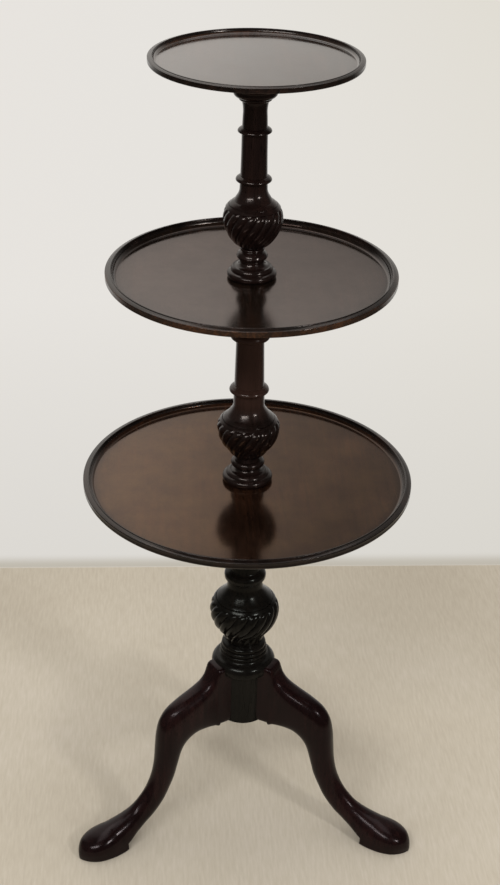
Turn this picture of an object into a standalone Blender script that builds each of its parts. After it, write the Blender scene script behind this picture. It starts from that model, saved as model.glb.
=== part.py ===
"""Three-tier dumbwaiter table: revolving dished trays on a turned pillar with three cabriole legs.

Lengths are in metres and +Z is up. The table stands on z = 0 with its origin at the centre of
its bounding box, so the column axis lies a little towards -Y and one leg points along +Y.
"""
import math

import bmesh
import bpy
import numpy as np
from mathutils import Matrix, Vector

# Trays: height of the lowest rim's crest from the ground, then the rise from crest to crest
lower_tray_radius = 0.2196
lower_tray_height = 0.5560
lower_dish_depth = 0.0085
lower_rim_width = 0.0130
lower_edge_depth = 0.0116
middle_tray_radius = 0.1840
middle_tray_rise = 0.2945
middle_dish_depth = 0.0085
middle_rim_width = 0.0124
middle_edge_depth = 0.0095
top_tray_radius = 0.1284
top_tray_rise = 0.2710
top_dish_depth = 0.0060
top_rim_width = 0.0097
top_edge_depth = 0.0075
floor_thickness = 0.0068
underside_bevel = 0.0250
foot_recess = 0.0003
foot_recess_margin = 0.0020

# Turned collars under the trays and the block under the top tray
lower_collar_radius = 0.0500
middle_collar_radius = 0.0460
top_block_radius = 0.0400
lower_collar_depth = 0.0160
middle_collar_depth = 0.0160
top_block_depth = 0.0140
collar_rounding = 0.0050

# Pillar sections
hub_underside = 0.1580
hub_radius = 0.0360
hub_height = 0.0820
base_urn_radius = 0.0480
middle_urn_radius = 0.0410
upper_urn_radius = 0.0370
spindle_radius = 0.0160
dowel_radius = 0.0110
dowel_length = 0.0450
spigot_radius = 0.0090
spigot_length = 0.0100
end_chamfer = 0.0010

# Legs, from the column axis
foot_reach = 0.2736
leg_half_width = 0.0175
hip_flat = 0.0110
cusp_run = 0.0035
cusp_drop = 0.0035
pad_height = 0.0095
pad_length = 0.0695
pad_half_width = 0.0252
pad_dome = 0.0075
tenon_inner_radius = 0.0200
tenon_half_width = 0.0080
tenon_neck_half_width = 0.0055
tenon_height = 0.0660
tenon_root = 0.0040

# Iron plate under the hub
plate_thickness = 0.0025
plate_disc_radius = 0.0170
plate_arm_half_width = 0.0075
plate_tip_margin = 0.0015
hub_screw_radius = 0.0120
leg_screw_inset = 0.0045

# Countersunk screws
screw_head_radius = 0.0035
screw_head_depth = 0.0018
screw_shank_radius = 0.0017
screw_point = 0.0020
screw_slot_width = 0.0008
screw_slot_depth = 0.0007
plate_screw_length = 0.0150
collar_screw_bite = 0.0040

# Clearances
seat_gap = 0.0003
running_gap = 0.0004
bore_gap = 0.0005
dowel_relief = 0.0020
overrun = 0.0100
merge_distance = 0.000001

# Numbers of sides, lobes and steps
tray_sides = 40
turned_sides = 21
screw_sides = 8
lobes = 18
lobe_facets = 3
bowl_steps = 2
collar_screws = 4
leg_steps = 2
tip_steps = 6
web_steps = 4
arc_facet = math.radians(75)
sharp_angle = math.radians(35)
wrythen_turn = math.radians(60)
odd_slot_turn = math.radians(65)
leg_azimuths = {
    "left_leg": math.radians(-150),
    "right_leg": math.radians(-30),
    "back_leg": math.radians(90),
}

# A groove of an urn is this share of the radius deep, and reaches it this share of the way up
lobe_depth_share = 0.075
lobe_full_share = 0.35

# Turned outlines from bottom to top: moulding, share of the urn's radius, share of the height and
# bulge. A bulge is the height of the arc that leads to the point, as a share of its chord, and
# swells when above zero. The base's heights start at the top of its hub.
base_profile_shares = (
    ("torus", 0.833, 0.004, 0),
    ("torus", 0.844, 0.056, 0.30),
    ("step", 0.750, 0.067, 0.10),
    ("cove", 0.625, 0.088, -0.15),
    ("ring", 0.604, 0.120, 0.30),
    ("ring", 0.563, 0.148, 0.30),
    ("neck", 0.521, 0.162, 0),
    ("bowl", 0.688, 0.218, 0.02),
    ("bowl", 1.000, 0.310, 0.08),
    ("bowl", 0.946, 0.384, 0.08),
    ("band", 0.898, 0.398, 0.03),
    ("quirk", 0.881, 0.400, 0),
    ("shoulder", 0.719, 0.431, 0.06),
    ("cove", 0.521, 0.473, -0.09),
    ("neck", 0.496, 0.489, 0),
    ("bead", 0.469, 0.563, 0.26),
    ("shaft", 0.438, 0.581, -0.10),
    ("shaft", 0.429, 0.775, 0),
    ("bead", 0.429, 0.815, 0.60),
    ("neck", 0.421, 0.852, 0),
    ("flare", 0.458, 0.915, -0.05),
    ("ring", 0.542, 0.931, 0.30),
    ("ring", 0.708, 0.960, 0.25),
    ("cove", 0.854, 0.982, -0.20),
    ("cap", 0.958, 0.989, 0),
    ("cap", 0.958, 1.000, 0),
)
middle_profile_shares = (
    ("foot", 0.756, 0.000, 0),
    ("foot", 0.756, 0.033, 0.28),
    ("fillet", 0.695, 0.037, 0),
    ("ogee", 0.573, 0.056, 0.15),
    ("cove", 0.390, 0.072, -0.20),
    ("fillet", 0.390, 0.078, 0),
    ("bead", 0.390, 0.115, 0.65),
    ("neck", 0.366, 0.132, 0),
    ("bowl", 0.683, 0.181, 0.10),
    ("bowl", 1.000, 0.281, 0.10),
    ("bowl", 0.927, 0.331, 0.13),
    ("band", 0.861, 0.341, 0.03),
    ("quirk", 0.839, 0.343, 0),
    ("shoulder", 0.659, 0.365, 0.03),
    ("cove", 0.498, 0.405, -0.12),
    ("neck", 0.488, 0.475, 0),
    ("bead", 0.471, 0.523, 0.48),
    ("shaft", 0.441, 0.763, 0),
    ("bead", 0.441, 0.806, 0.70),
    ("neck", 0.432, 0.847, 0),
    ("flare", 0.463, 0.913, -0.05),
    ("ring", 0.549, 0.928, 0.30),
    ("ring", 0.720, 0.959, 0.25),
    ("cove", 0.927, 0.982, -0.20),
    ("cap", 1.049, 0.989, 0),
    ("cap", 1.049, 1.000, 0),
)
upper_profile_shares = (
    ("foot", 0.784, 0.000, 0),
    ("foot", 0.784, 0.032, 0.30),
    ("fillet", 0.716, 0.036, 0),
    ("ogee", 0.595, 0.054, 0.15),
    ("cove", 0.392, 0.072, -0.20),
    ("fillet", 0.392, 0.080, 0),
    ("bead", 0.392, 0.114, 0.62),
    ("neck", 0.341, 0.140, -0.12),
    ("bowl", 0.689, 0.185, 0.08),
    ("bowl", 1.000, 0.285, 0.06),
    ("bowl", 0.919, 0.365, 0.07),
    ("band", 0.827, 0.382, 0.03),
    ("quirk", 0.800, 0.384, 0),
    ("shoulder", 0.643, 0.400, 0.03),
    ("cove", 0.462, 0.440, -0.12),
    ("neck", 0.457, 0.488, 0),
    ("bead", 0.451, 0.526, 0.58),
    ("shaft", 0.427, 0.731, 0),
    ("bead", 0.416, 0.763, 0.60),
    ("neck", 0.405, 0.825, 0),
    ("flare", 0.454, 0.899, -0.05),
    ("ring", 0.554, 0.915, 0.30),
    ("ring", 0.730, 0.946, 0.25),
    ("cove", 0.946, 0.972, -0.20),
    ("cap", 1.054, 0.980, 0),
    ("cap", 1.054, 1.000, 0),
)

# Dished rim: share of the rim's width in from the edge, share of the dish's depth above its floor
rim_shares = (
    (0.00, 0.25),
    (0.02, 0.62),
    (0.16, 0.93),
    (0.36, 1.00),
    (0.57, 0.85),
    (0.60, 0.50),
    (0.74, 0.17),
    (1.00, 0.00),
)
edge_inset_share = 0.15

# Cabriole leg beyond the hip: crest reach and height, underside reach and height, half width and
# roundness. Reaches are shares of the way from the hub to the toe, heights of the hub's underside.
leg_shares = (
    (0.093, 1.490, 0.093, 1.003, 1.00, 0.00),
    (0.221, 1.380, 0.215, 0.989, 1.03, 0.25),
    (0.408, 1.240, 0.300, 0.857, 1.00, 0.45),
    (0.456, 0.915, 0.332, 0.666, 0.91, 0.60),
    (0.494, 0.600, 0.374, 0.477, 0.82, 0.80),
    (0.620, 0.345, 0.479, 0.235, 0.80, 1.00),
    (0.838, 0.227, 0.698, 0.055, 1.35, 1.00),
    (0.964, 0.139, 0.902, 0.025, 1.20, 1.00),
    (0.990, 0.080, 0.958, 0.030, 0.57, 1.00),
)
hip_top_share = 1.61
# Half a section of the leg, crest to underside: share of the half width, share of the half depth
square_section_shares = (
    (0.00, 1.00),
    (0.62, 0.96),
    (0.96, 0.74),
    (1.00, 0.00),
    (0.86, -0.68),
    (0.45, -0.95),
    (0.00, -1.00),
)
# Half the outline of a pad, heel to toe: share of its length, share of its half width
pad_shares = (
    (0.00, 0.00),
    (0.01, 0.80),
    (0.20, 0.94),
    (0.44, 1.00),
    (0.68, 0.94),
    (0.85, 0.76),
    (0.96, 0.40),
    (1.00, 0.00),
)
sole_share = 0.97
pad_crown_share = 0.74
# Bulge of a quarter circle
quarter_round_share = 0.207

# Places worked out from the sizes
middle_tray_height = lower_tray_height + middle_tray_rise
top_tray_height = middle_tray_height + top_tray_rise
hip_top = hip_top_share * hub_underside
axis_setback = (foot_reach - lower_tray_radius) / 2
hub_top = hub_underside + hub_height
middle_foot_radius = middle_profile_shares[0][1] * middle_urn_radius
upper_foot_radius = upper_profile_shares[0][1] * upper_urn_radius
pad_heel = foot_reach - pad_length
plate_reach = hub_radius + hip_flat - plate_tip_margin
leg_screw_radius = hub_radius + leg_screw_inset


class Tray:
    """Heights of one tray and of what it turns between."""

    def __init__(self, name, radius, crest, dish_depth, rim_width, edge_depth):
        self.name = name
        self.radius = radius
        self.dish_depth = dish_depth
        self.rim_width = rim_width
        self.edge_depth = edge_depth
        self.floor = crest - dish_depth
        self.underside = self.floor - floor_thickness
        self.pillar_foot = self.floor + running_gap

    def carry(self, collar_radius, collar_depth):
        """Set the collar under the tray and the height of the pillar that it runs on."""
        self.collar_radius = collar_radius
        self.collar_depth = collar_depth
        self.collar_foot = self.underside - seat_gap - collar_depth
        self.pillar_top = self.collar_foot - running_gap
        return self


lower = Tray("lower_tray", lower_tray_radius, lower_tray_height, lower_dish_depth,
             lower_rim_width, lower_edge_depth).carry(lower_collar_radius, lower_collar_depth)
middle = Tray("middle_tray", middle_tray_radius, middle_tray_height, middle_dish_depth,
              middle_rim_width, middle_edge_depth).carry(middle_collar_radius, middle_collar_depth)
top = Tray("top_tray", top_tray_radius, top_tray_height, top_dish_depth,
           top_rim_width, top_edge_depth).carry(top_block_radius, top_block_depth)

# Looks: linear colour, roughness and metallic value
pillar_look = ((0.030, 0.012, 0.008), 0.28, 0.0)
leg_look = ((0.034, 0.014, 0.009), 0.30, 0.0)
tray_look = ((0.070, 0.032, 0.018), 0.25, 0.0)
bearer_look = ((0.050, 0.022, 0.013), 0.55, 0.0)
iron_look = ((0.050, 0.047, 0.044), 0.60, 1.0)
brass_look = ((0.330, 0.220, 0.090), 0.45, 1.0)


def clear_scene():
    """Empty the scene that the script starts in."""
    for obj in list(bpy.data.objects):
        bpy.data.objects.remove(obj, do_unlink=True)


def finish(name, look):
    """Make one piece's material."""
    colour, roughness, metallic = look
    made = bpy.data.materials.new(name + "_finish")
    made.use_nodes = True
    surface = made.node_tree.nodes["Principled BSDF"]
    surface.inputs["Base Color"].default_value = (*colour, 1)
    surface.inputs["Roughness"].default_value = roughness
    surface.inputs["Metallic"].default_value = metallic
    made.diffuse_color = (*colour, 1)
    return made


def add_axis(name, height):
    """Add an empty on the column axis."""
    empty = bpy.data.objects.new(name, None)
    empty.location = (0, -axis_setback, height)
    bpy.context.collection.objects.link(empty)
    return empty


def add_piece(name, mesh, look, parent, place=(0, 0, 0), turn=0):
    """Add one piece of the table under its axis; copies of a piece share their mesh."""
    obj = bpy.data.objects.new(name, mesh)
    bpy.context.collection.objects.link(obj)
    obj.parent = parent
    obj.location = place
    obj.rotation_euler.z = turn
    if not mesh.materials:
        mesh.materials.append(None)
    obj.material_slots[0].link = "OBJECT"
    obj.material_slots[0].material = finish(name, look)
    return obj


def add_cutter(name, mesh, parent):
    """Add a guide solid that only shapes other pieces."""
    obj = bpy.data.objects.new(name, mesh)
    bpy.context.collection.objects.link(obj)
    obj.parent = parent
    obj.hide_render = True
    obj.display_type = "WIRE"
    return obj


def add_boolean(obj, cutter, operation="DIFFERENCE"):
    """Cut a piece with a guide, or join the guide to it."""
    modifier = obj.modifiers.new(cutter.name, "BOOLEAN")
    modifier.operation = operation
    modifier.solver = "EXACT"
    modifier.object = cutter


def finished(name, bm):
    """Turn a bmesh into a smooth-shaded mesh with its faces pointing out."""
    bmesh.ops.remove_doubles(bm, verts=bm.verts, dist=merge_distance)
    bmesh.ops.recalc_face_normals(bm, faces=bm.faces)
    mesh = bpy.data.meshes.new(name)
    bm.to_mesh(mesh)
    bm.free()
    mesh.shade_smooth()
    mesh.set_sharp_from_angle(angle=sharp_angle)
    return mesh


def turned_mesh(name, outline, sides, places=(Vector(),)):
    """Turn an outline of (radius, height) points round Z, once at each place."""
    bm = bmesh.new()
    verts = [bm.verts.new((radius, 0, height)) for radius, height in outline]
    edges = [bm.edges.new(pair) for pair in zip(verts, verts[1:])]
    bmesh.ops.spin(bm, geom=verts + edges, cent=Vector(), axis=(0, 0, 1), angle=math.tau,
                   steps=sides, use_merge=True)
    whole = bm.verts[:] + bm.edges[:] + bm.faces[:]
    for place in places[1:]:
        copy = bmesh.ops.duplicate(bm, geom=whole)["geom"]
        copied = [piece for piece in copy if isinstance(piece, bmesh.types.BMVert)]
        bmesh.ops.translate(bm, vec=place - places[0], verts=copied)
    bmesh.ops.translate(bm, vec=places[0], verts=bm.verts)
    return finished(name, bm)


def join_rings(bm, low, high):
    """Bridge two rings of vertices; a coarser ring's vertices each take a fan of the finer one."""
    count = max(len(low), len(high))
    for step in range(count):
        corners = (
            low[step * len(low) // count],
            low[(step + 1) * len(low) // count % len(low)],
            high[(step + 1) * len(high) // count % len(high)],
            high[step * len(high) // count],
        )
        bm.faces.new(list(dict.fromkeys(corners)))


def stacked_mesh(name, rings):
    """Close a stack of rings of points into one solid."""
    bm = bmesh.new()
    loops = [[bm.verts.new(point) for point in ring] for ring in rings]
    for low, high in zip(loops, loops[1:]):
        join_rings(bm, low, high)
    bm.faces.new(loops[0])
    bm.faces.new(loops[-1])
    return finished(name, bm)


def arc_points(start, end, bulge, least_steps=1):
    """Points after start along the arc to end; the last one is end."""
    if not bulge:
        return [end]
    half_angle = 2 * math.atan(2 * bulge)
    steps = max(least_steps, math.ceil(2 * abs(half_angle) / arc_facet))
    points = []
    for step in range(1, steps + 1):
        angle = half_angle * (2 * step / steps - 1)
        along = 0.5 * (1 + math.sin(angle) / math.sin(half_angle))
        out = (math.cos(angle) - math.cos(half_angle)) / (2 * math.sin(half_angle))
        radius = start[0] + along * (end[0] - start[0]) + out * (end[1] - start[1])
        height = start[1] + along * (end[1] - start[1]) - out * (end[0] - start[0])
        points.append((radius, height))
    return points


def turned_profile(shares, urn_radius, foot, height):
    """Points (radius, height, whether on the lobed bowl) of a turned outline."""
    points = []
    for moulding, radius_share, height_share, bulge in shares:
        end = (radius_share * urn_radius, foot + height_share * height)
        start = points[-1][:2] if points else end
        lobed = moulding == "bowl"
        for radius, level in arc_points(start, end, bulge, bowl_steps if lobed else 1):
            points.append((radius, level, lobed))
    return points


def wrythen_rings(profile):
    """Rings of points up a turned profile, with twisted lobes round its bowl."""
    bowl = [index for index, point in enumerate(profile) if point[2]]
    bowl_foot = profile[bowl[0] - 1][1]
    bowl_top = profile[bowl[-1]][1]
    rings = []
    for index, (radius, height, lobed) in enumerate(profile):
        climb = min(1, max(0, (height - bowl_foot) / (bowl_top - bowl_foot)))
        turn = wrythen_turn * climb
        depth = lobe_depth_share * min(1, climb / lobe_full_share)
        if not lobed or index == bowl[-1]:
            depth = 0
        count = lobes * lobe_facets if lobed else turned_sides
        ring = []
        for step in range(count):
            angle = turn + math.tau * step / count
            swell = abs(math.sin(math.pi * step / lobe_facets))
            reach = radius * (1 - depth * (1 - swell))
            ring.append((reach * math.cos(angle), reach * math.sin(angle), height))
        rings.append(ring)
    return rings


def plain_points(outline):
    """Plain turned points to add below or above a pillar's mouldings."""
    return [(radius, height, False) for radius, height in outline]


def spindle_points(below, pillar_foot):
    """Dowel and spindle under a pillar, from its end up to its foot."""
    shoulder = below.pillar_top + seat_gap
    end = shoulder - dowel_length
    return plain_points((
        (dowel_radius - end_chamfer, end),
        (dowel_radius, end + end_chamfer),
        (dowel_radius, shoulder),
        (spindle_radius, shoulder),
        (spindle_radius, pillar_foot),
    ))


def bore_points(pillar_top):
    """Bore in the top of a pillar for the dowel of the next one."""
    bore_radius = dowel_radius + running_gap
    return plain_points((
        (bore_radius, pillar_top),
        (bore_radius, pillar_top - dowel_length - dowel_relief),
    ))


def base_profile():
    """Hub, wrythen base urn and cap of the lowest pillar."""
    hub = plain_points(((hub_radius, hub_underside), (hub_radius, hub_top)))
    height = lower.pillar_top - hub_top
    return hub + turned_profile(base_profile_shares, base_urn_radius, hub_top, height)


def prism_mesh(name, outline, low, high):
    """Straight solid on a flat outline of (x, y) points."""
    return stacked_mesh(name, [[(x, y, level) for x, y in outline] for level in (low, high)])


def tenon_outline(outer, gap):
    """Dovetail that widens towards the column axis, in a leg's own frame."""
    inner = tenon_inner_radius - gap
    wide = tenon_half_width + gap
    narrow = tenon_neck_half_width + gap
    return ((inner, -wide), (hub_radius, -narrow), (outer, -narrow),
            (outer, narrow), (hub_radius, narrow), (inner, wide))


def screw_outline(length):
    """Countersunk screw with the face of its head at zero."""
    return (
        (0, 0),
        (screw_head_radius, 0),
        (screw_shank_radius, screw_head_depth),
        (screw_shank_radius, length - screw_point),
        (0, length),
    )


def screw_hole_outline(length):
    """Countersunk hole with clearance for the screw, open below."""
    head = screw_head_radius + seat_gap
    shank = screw_shank_radius + seat_gap
    return ((0, -overrun), (head, -overrun), (head, 0), (shank, screw_head_depth),
            (shank, length), (0, length))


def pilot_outline(entry, end):
    """Blind hole for a screw's shank, from below its entry to its end."""
    shank = screw_shank_radius + seat_gap
    return ((0, entry - overrun), (shank, entry - overrun), (shank, end), (0, end))


def screw_mesh(name, length, parent):
    """Screw with a slotted head."""
    blank = turned_mesh(name + "_blank", screw_outline(length), screw_sides)
    half_width = screw_slot_width / 2
    reach = screw_head_radius + overrun
    outline = ((-reach, -half_width), (reach, -half_width), (reach, half_width), (-reach, half_width))
    slot = prism_mesh(name + "_slot", outline, -overrun, screw_slot_depth)
    body = add_cutter(name + "_blank", blank, parent)
    add_boolean(body, add_cutter(name + "_slot", slot, parent))
    return applied(body, name)


def applied(obj, name):
    """The evaluated mesh of a guide, free of its modifiers."""
    bpy.context.view_layer.update()
    evaluated = obj.evaluated_get(bpy.context.evaluated_depsgraph_get())
    mesh = bpy.data.meshes.new_from_object(evaluated)
    mesh.name = name
    mesh.materials.clear()
    mesh.shade_smooth()
    mesh.set_sharp_from_angle(angle=sharp_angle)
    return mesh


def around(radius, height, angles):
    """Places on a circle round the column axis."""
    return [Vector((radius * math.cos(angle), radius * math.sin(angle), height)) for angle in angles]


def collar_screw_angles():
    """Directions of the screws in a collar, between the axes."""
    return [math.tau * (index + 0.5) / collar_screws for index in range(collar_screws)]


def collar_screw_circle(tray):
    """Radius of the circle of screws in a tray's collar, midway between its bore and its edge."""
    return (spindle_radius + bore_gap + tray.collar_radius) / 2


def add_tray(tray, parent, foot_radius):
    """Dished tray with a moulded rim and pilot holes underneath.

    Where a pillar's foot stands over it, it has a bore and a shallow turned recess round the foot.
    """
    underside = tray.underside - tray.floor
    edge_foot = tray.dish_depth - tray.edge_depth
    outline = [
        (tray.radius - underside_bevel, underside),
        (tray.radius - edge_inset_share * tray.rim_width, edge_foot),
    ]
    for in_share, up_share in rim_shares:
        outline.append((tray.radius - in_share * tray.rim_width, up_share * tray.dish_depth))
    bore = spindle_radius + bore_gap if foot_radius else 0
    outline = [(bore, underside)] + outline
    if foot_radius:
        recess = foot_radius + foot_recess_margin
        outline += [(recess, 0), (recess, -foot_recess), (bore, -foot_recess), outline[0]]
    else:
        outline.append((bore, 0))
    mesh = turned_mesh(tray.name, outline, tray_sides)
    obj = add_piece(tray.name, mesh, tray_look, parent)
    hole = pilot_outline(underside, underside + collar_screw_bite + seat_gap)
    places = around(collar_screw_circle(tray), 0, collar_screw_angles())
    holes = turned_mesh(tray.name + "_pilots", hole, screw_sides, places)
    add_boolean(obj, add_cutter(tray.name + "_pilots", holes, parent))
    return obj


def add_collar(name, tray, parent, bored):
    """Turned collar screwed under a tray, with a bore for the pillar that passes or ends in it."""
    foot = tray.collar_foot - tray.floor
    head = foot + tray.collar_depth
    start = (tray.collar_radius - collar_rounding, foot)
    edge = [start]
    edge += arc_points(start, (tray.collar_radius, foot + collar_rounding), quarter_round_share)
    edge.append((tray.collar_radius, head))
    if bored:
        bore = spindle_radius + bore_gap
        outline = [(bore, foot)] + edge + [(bore, head), (bore, foot)]
    else:
        bore = spigot_radius + running_gap
        ceiling = foot + spigot_length
        outline = [(0, ceiling), (bore, ceiling), (bore, foot)] + edge + [(0, head)]
    obj = add_piece(name, turned_mesh(name, outline, turned_sides), bearer_look, parent)
    length = tray.collar_depth + seat_gap + collar_screw_bite
    places = around(collar_screw_circle(tray), foot, collar_screw_angles())
    holes = turned_mesh(name + "_holes", screw_hole_outline(length), screw_sides, places)
    add_boolean(obj, add_cutter(name + "_holes", holes, parent))
    mesh = screw_mesh(name + "_screw", length, parent)
    for number, place in enumerate(places, 1):
        slot_turn = number * odd_slot_turn
        add_piece("%s_screw_%d" % (name, number), mesh, brass_look, parent, place, slot_turn)
    return obj


def add_base_pillar(parent):
    """Lowest pillar, with dovetail sockets for the legs and pilot holes for the plate's screws."""
    rings = wrythen_rings(base_profile() + bore_points(lower.pillar_top))
    obj = add_piece("base_pillar", stacked_mesh("base_pillar", rings), pillar_look, parent)
    outline = tenon_outline(hub_radius + overrun, seat_gap)
    socket = prism_mesh("leg_socket", outline, hub_underside - overrun,
                        hub_underside + tenon_height + seat_gap)
    for name, azimuth in leg_azimuths.items():
        cutter = add_cutter(name + "_socket", socket, parent)
        cutter.rotation_euler.z = azimuth
        add_boolean(obj, cutter)
    hole = pilot_outline(hub_underside, hub_underside + plate_screw_length)
    places = around(hub_screw_radius, 0, leg_azimuths.values())
    holes = turned_mesh("hub_pilots", hole, screw_sides, places)
    add_boolean(obj, add_cutter("hub_pilots", holes, parent))
    return obj


def add_middle_pillar(parent):
    """Pillar between the lower and the middle tray."""
    height = middle.pillar_top - lower.pillar_foot
    profile = turned_profile(middle_profile_shares, middle_urn_radius, lower.pillar_foot, height)
    profile = spindle_points(lower, lower.pillar_foot) + profile + bore_points(middle.pillar_top)
    return add_piece("middle_pillar", stacked_mesh("middle_pillar", wrythen_rings(profile)),
                     pillar_look, parent)


def add_upper_pillar(parent):
    """Pillar between the middle and the top tray, with the spigot on which the top tray turns."""
    height = top.pillar_top - middle.pillar_foot
    profile = turned_profile(upper_profile_shares, upper_urn_radius, middle.pillar_foot, height)
    spigot = plain_points((
        (spigot_radius, top.pillar_top),
        (spigot_radius, top.pillar_top + spigot_length - end_chamfer),
        (spigot_radius - end_chamfer, top.pillar_top + spigot_length),
    ))
    profile = spindle_points(middle, middle.pillar_foot) + profile + spigot
    return add_piece("upper_pillar", stacked_mesh("upper_pillar", wrythen_rings(profile)),
                     pillar_look, parent)


def smooth_rows(knots):
    """Rows of numbers on a smooth curve through the knots."""
    knots = np.array(knots)
    padded = np.vstack((knots[0], knots, knots[-1]))
    rows = []
    for before, start, end, after in zip(padded, padded[1:], padded[2:], padded[3:]):
        for step in range(leg_steps):
            way = step / leg_steps
            row = 2 * start + (end - before) * way
            row = row + (2 * before - 5 * start + 4 * end - after) * way ** 2
            row = row + (3 * start - before - 3 * end + after) * way ** 3
            rows.append((row / 2).tolist())
    rows.append(knots[-1].tolist())
    return rows


def leg_section(crest, under, half_width, roundness):
    """Ring of points round the leg between a point of its crest and one of its underside."""
    middle_point = (crest + under) / 2
    half_depth = (crest - under) / 2
    last = len(square_section_shares) - 1
    side = []
    for index, (width_share, depth_share) in enumerate(square_section_shares):
        angle = math.pi * index / last
        width = width_share + roundness * (math.sin(angle) - width_share)
        depth = depth_share + roundness * (math.cos(angle) - depth_share)
        point = middle_point + depth * half_depth
        side.append((point.x, width * half_width, point.y))
    return side + [(x, -y, z) for x, y, z in reversed(side[1:-1])]


def leg_rings():
    """Sections of a cabriole leg from inside the hub to the toe, in its own frame along +X."""
    hip_end = hub_radius + hip_flat
    root = hub_radius - tenon_root
    cusp_end = hip_end + cusp_run
    sections = [
        leg_section(Vector((root, hip_top)), Vector((root, hub_underside)), leg_half_width, 0),
        leg_section(Vector((hip_end, hip_top)), Vector((hip_end, hub_underside)), leg_half_width, 0),
        leg_section(Vector((cusp_end, hip_top)), Vector((cusp_end, hub_underside - cusp_drop)),
                    leg_half_width, 0),
    ]
    span = foot_reach - hub_radius
    for crest_out, crest_up, under_out, under_up, width_share, roundness in smooth_rows(leg_shares):
        crest = Vector((hub_radius + crest_out * span, crest_up * hub_underside))
        under = Vector((hub_radius + under_out * span, under_up * hub_underside))
        sections.append(leg_section(crest, under, width_share * leg_half_width, roundness))
    return sections


def pad_rings():
    """Shield-shaped pad under a foot, domed on top, with its sole slightly drawn in."""
    side = [(along * pad_length, across * pad_half_width) for along, across in pad_shares]
    outline = side + [(x, -y) for x, y in reversed(side[1:-1])]
    middle_of_pad = pad_length / 2
    levels = ((0, sole_share), (end_chamfer, 1), (pad_height, 1),
              (pad_height + pad_dome, pad_crown_share))
    return [[(pad_heel + middle_of_pad + share * (x - middle_of_pad), share * y, level)
             for x, y in outline] for level, share in levels]


def leg_mesh(parent):
    """Cabriole leg: carved body, pad, hollow for the hub and torus, dovetail and screw hole.

    The hollow has as many flat sides as the hub, and is turned so that they face each other.
    """
    body = add_cutter("leg_body", stacked_mesh("leg_body", leg_rings()), parent)
    pad = add_cutter("leg_pad", stacked_mesh("leg_pad", pad_rings()), parent)
    add_boolean(body, pad, "UNION")
    hollow = add_cutter("leg_hollow", turned_mesh("leg_hollow", hollow_outline(), turned_sides), parent)
    hollow.rotation_euler.z = -leg_azimuths["back_leg"]
    add_boolean(body, hollow)
    outline = tenon_outline(hub_radius + tenon_root, 0)
    tenon = prism_mesh("leg_tenon", outline, hub_underside, hub_underside + tenon_height)
    add_boolean(body, add_cutter("leg_tenon", tenon, parent), "UNION")
    hole = pilot_outline(hub_underside, hub_underside + plate_screw_length)
    holes = turned_mesh("leg_pilot", hole, screw_sides, around(leg_screw_radius, 0, (0,)))
    add_boolean(body, add_cutter("leg_pilot", holes, parent))
    return applied(body, "cabriole_leg")


def hollow_outline():
    """Hub and torus grown by the seat gap, then straight up past the hip, closed to the axis."""
    seat = [(hub_radius, hub_underside - overrun)]
    for radius, height, lobed in base_profile():
        if height < hip_top:
            seat.append((max(radius, seat[-1][0]), height))
    seat.append((seat[-1][0], hip_top + overrun))
    grown = []
    for before, point, after in zip(seat[:1] + seat, seat, seat[1:] + seat[-1:]):
        along = (Vector(after) - Vector(before)).normalized()
        grown.append((point[0] + seat_gap * along.y, point[1] - seat_gap * along.x))
    return [(0, grown[0][1])] + grown + [(0, grown[-1][1])]


def plate_outline():
    """Disc with three round-ended arms under the legs."""
    arm_root = math.sqrt(plate_disc_radius ** 2 - plate_arm_half_width ** 2)
    root_angle = math.asin(plate_arm_half_width / plate_disc_radius)
    tip_centre = plate_reach - plate_arm_half_width
    arm = [(arm_root, -plate_arm_half_width)]
    for step in range(tip_steps + 1):
        angle = math.pi * (step / tip_steps - 0.5)
        arm.append((tip_centre + plate_arm_half_width * math.cos(angle),
                    plate_arm_half_width * math.sin(angle)))
    arm.append((arm_root, plate_arm_half_width))
    third = math.tau / 3
    for step in range(1, web_steps):
        angle = root_angle + (third - 2 * root_angle) * step / web_steps
        arm.append((plate_disc_radius * math.cos(angle), plate_disc_radius * math.sin(angle)))
    outline = []
    for azimuth in sorted(leg_azimuths.values()):
        turn = Matrix.Rotation(azimuth, 2)
        outline += [tuple(turn @ Vector(point)) for point in arm]
    return outline


def add_leg_plate(parent):
    """Iron plate that holds the legs to the hub, with its six screws."""
    head = hub_underside - seat_gap
    foot = head - plate_thickness
    mesh = prism_mesh("leg_plate", plate_outline(), foot, head)
    obj = add_piece("leg_plate", mesh, iron_look, parent)
    azimuths = list(leg_azimuths.values())
    places = around(hub_screw_radius, foot, azimuths) + around(leg_screw_radius, foot, azimuths)
    length = plate_screw_length - seat_gap
    holes = turned_mesh("leg_plate_holes", screw_hole_outline(length), screw_sides, places)
    add_boolean(obj, add_cutter("leg_plate_holes", holes, parent))
    screw = screw_mesh("leg_plate_screw", length, parent)
    for number, place in enumerate(places, 1):
        slot_turn = number * odd_slot_turn
        add_piece("leg_plate_screw_%d" % number, screw, iron_look, parent, place, slot_turn)
    return obj


def add_legs(parent):
    """The three legs, which share one mesh."""
    mesh = leg_mesh(parent)
    for name, azimuth in leg_azimuths.items():
        add_piece(name, mesh, leg_look, parent, turn=azimuth)


def main():
    """Build the table."""
    clear_scene()
    column_axis = add_axis("column_axis", 0)
    add_base_pillar(column_axis)
    add_legs(column_axis)
    add_leg_plate(column_axis)
    add_middle_pillar(column_axis)
    add_upper_pillar(column_axis)
    for tray, collar, foot_radius in ((lower, "lower_tray_collar", middle_foot_radius),
                                      (middle, "middle_tray_collar", upper_foot_radius),
                                      (top, "top_tray_block", 0)):
        axis = add_axis(tray.name + "_axis", tray.floor)
        add_tray(tray, axis, foot_radius)
        add_collar(collar, tray, axis, bool(foot_radius))


main()
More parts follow.
